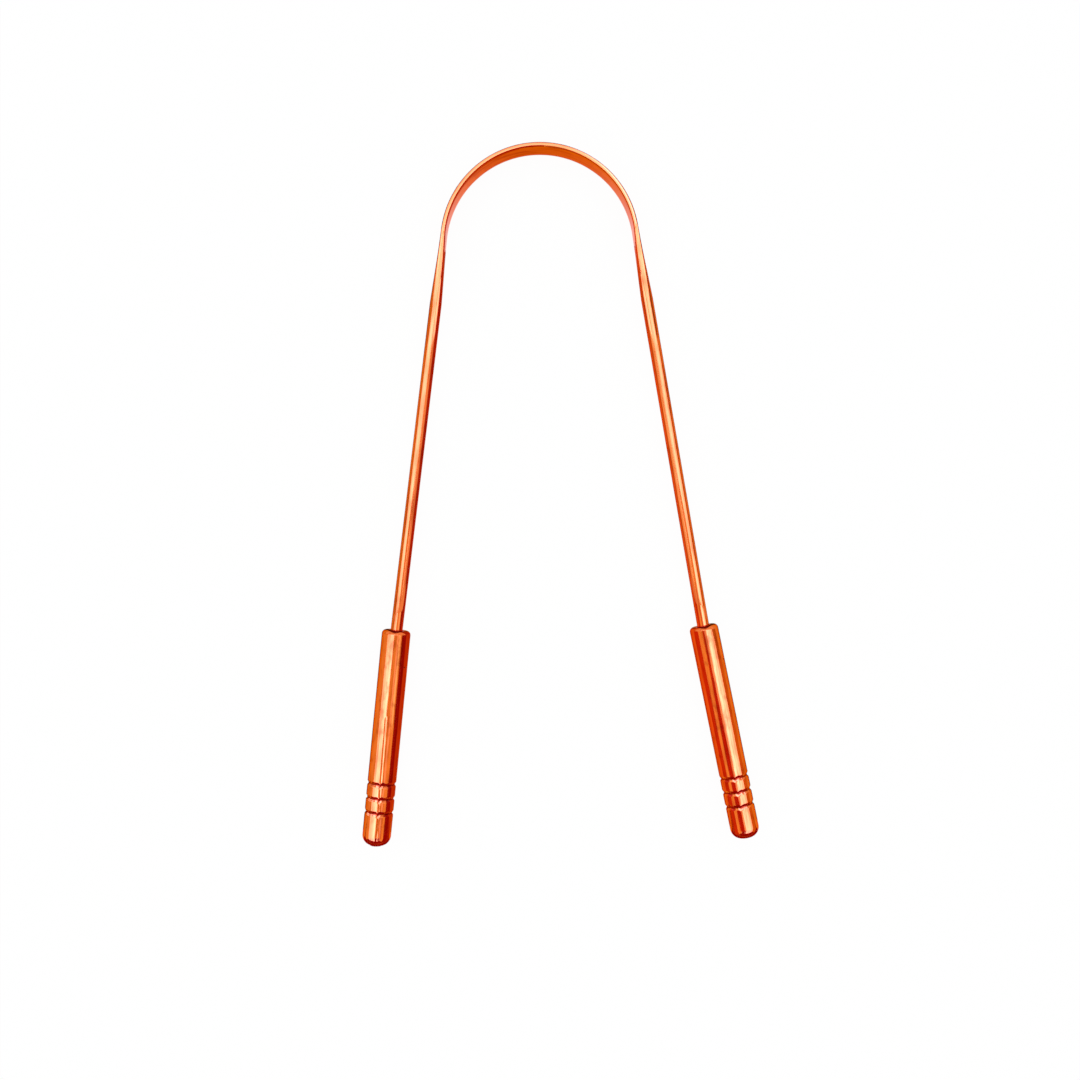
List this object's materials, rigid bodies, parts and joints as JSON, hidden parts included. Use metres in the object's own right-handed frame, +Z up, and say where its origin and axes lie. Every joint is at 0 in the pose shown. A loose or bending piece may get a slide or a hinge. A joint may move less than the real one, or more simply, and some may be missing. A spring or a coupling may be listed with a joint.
{
  "type": "tongue scraper",
  "caption": "Copper tongue scraper: a springy U-shaped wire, rolled flat round its bow, with turned cylindrical grips on its ends.",
  "frame": {"origin": "on the surface that the part lies on, at the middle of its footprint", "axes": "+Y from the grips towards the bow, +Z up from the surface, +X to the right when seen from above with the bow furthest away"},
  "size_m": [0.083, 0.146, 0.006],
  "materials": {
    "rolled_copper": "drawn and rolled copper, buffed bright",
    "turned_copper": "turned copper, polished, with fine tool marks"
  },
  "bodies": {
    "root": {"scraper_wire": "rolled_copper", "left_grip": "turned_copper", "right_grip": "turned_copper"}
  },
  "joints": []
}
